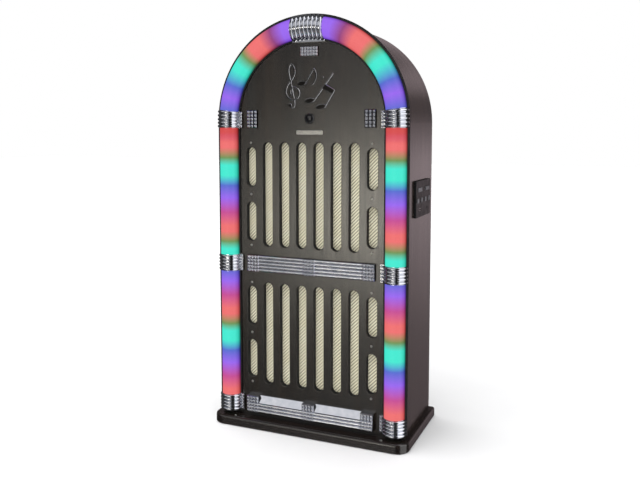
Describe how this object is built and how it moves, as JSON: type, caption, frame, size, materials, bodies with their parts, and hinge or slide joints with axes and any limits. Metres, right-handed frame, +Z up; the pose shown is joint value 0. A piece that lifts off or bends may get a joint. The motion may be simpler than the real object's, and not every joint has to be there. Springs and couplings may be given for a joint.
{
  "type": "floor-standing arched jukebox",
  "caption": "Floor-standing arched jukebox with lit half-round columns, ribbed chrome collars and bars, slotted cloth-backed front and side controls.",
  "frame": {"origin": "on the floor, under the middle of the plinth", "axes": "+X to the right seen from the front, +Y to the back, +Z up"},
  "size_m": [0.544, 0.284, 1.0796],
  "materials": {
    "veneer": "satin, dark espresso wood grain",
    "board": "raw fibreboard",
    "black_board": "matte black",
    "diffuser": "frosted, lit from behind in coloured bands",
    "lamp": "white lamps on a thin strip",
    "chrome": "bright mirror",
    "black_gloss": "gloss",
    "black_plastic": "fine-textured matte",
    "button": "satin",
    "cloth": "woven, beige with a diagonal rib",
    "rubber": "matte",
    "basket": "semi-gloss black",
    "magnet": "matte ferrite and plated steel",
    "cone": "pressed paper",
    "circuit": "solder mask",
    "steel": "plated"
  },
  "bodies": {
    "cabinet": {"front_baffle": "veneer", "side_panel_left": "veneer", "side_panel_right": "veneer", "arch_panel": "veneer", "base_plinth": "veneer", "rear_panel": "black_board", "bottom_board": "board", "corner_cleats": "board", "rear_panel_screws": "black_gloss", "rubber_feet": "rubber", "chrome_screws": "chrome", "led_strips": "lamp", "nameplate": "chrome", "emblem_clef": "black_gloss", "emblem_eighth_note": "black_gloss", "emblem_beamed_notes": "black_gloss", "receiver_bezel": "black_gloss", "receiver_lens": "black_gloss", "grille_cloth_upper": "cloth", "grille_cloth_lower": "cloth", "speaker_board_upper": "black_board", "speaker_board_lower": "black_board", "driver_baskets": "basket", "driver_magnets": "magnet", "driver_surrounds": "rubber", "woofer_basket": "basket", "woofer_magnet": "magnet", "woofer_surround": "rubber", "control_plate": "black_plastic", "main_board": "circuit", "usb_socket": "steel", "audio_socket": "black_plastic", "power_socket": "black_plastic", "crossbar_middle": "chrome", "crossbar_base": "chrome", "collar_crown": "chrome", "badge_crown": "chrome", "side_badges": "chrome", "light_channel": "black_plastic", "light_tube_left_lower": "diffuser", "light_tube_left_upper": "diffuser", "light_tube_left_arch": "diffuser", "collar_left_foot": "chrome", "collar_left_middle": "chrome", "collar_left_shoulder": "chrome", "light_tube_right_lower": "diffuser", "light_tube_right_upper": "diffuser", "light_tube_right_arch": "diffuser", "collar_right_foot": "chrome", "collar_right_middle": "chrome", "collar_right_shoulder": "chrome"},
    "button_power": {"button_power": "button"},
    "button_source": {"button_source": "button"},
    "button_previous": {"button_previous": "button"},
    "button_play": {"button_play": "button"},
    "button_next": {"button_next": "button"},
    "button_lights": {"button_lights": "button"},
    "driver_cone_left": {"driver_cone_left": "cone"},
    "driver_cone_right": {"driver_cone_right": "cone"},
    "woofer_cone": {"woofer_cone": "cone"}
  },
  "joints": [
    {"name": "press_power", "type": "slide", "parent": "cabinet", "child": "button_power", "axis": [-1, 0, 0], "range_m": [0, 0.0012], "stiffness_N_per_m": 300, "springref_m": -0.0005},
    {"name": "press_source", "type": "slide", "parent": "cabinet", "child": "button_source", "axis": [-1, 0, 0], "range_m": [0, 0.0012], "stiffness_N_per_m": 300, "springref_m": -0.0005},
    {"name": "press_previous", "type": "slide", "parent": "cabinet", "child": "button_previous", "axis": [-1, 0, 0], "range_m": [0, 0.0012], "stiffness_N_per_m": 300, "springref_m": -0.0005},
    {"name": "press_play", "type": "slide", "parent": "cabinet", "child": "button_play", "axis": [-1, 0, 0], "range_m": [0, 0.0012], "stiffness_N_per_m": 300, "springref_m": -0.0005},
    {"name": "press_next", "type": "slide", "parent": "cabinet", "child": "button_next", "axis": [-1, 0, 0], "range_m": [0, 0.0012], "stiffness_N_per_m": 300, "springref_m": -0.0005},
    {"name": "press_lights", "type": "slide", "parent": "cabinet", "child": "button_lights", "axis": [-1, 0, 0], "range_m": [0, 0.0012], "stiffness_N_per_m": 300, "springref_m": -0.0005},
    {"name": "driver_cone_left_stroke", "type": "slide", "parent": "cabinet", "child": "driver_cone_left", "axis": [0, 1, 0], "range_m": [-0.002, 0.002], "stiffness_N_per_m": 1800},
    {"name": "driver_cone_right_stroke", "type": "slide", "parent": "cabinet", "child": "driver_cone_right", "axis": [0, 1, 0], "range_m": [-0.002, 0.002], "stiffness_N_per_m": 1800},
    {"name": "woofer_cone_stroke", "type": "slide", "parent": "cabinet", "child": "woofer_cone", "axis": [0, 1, 0], "range_m": [-0.002, 0.002], "stiffness_N_per_m": 1800}
  ]
}
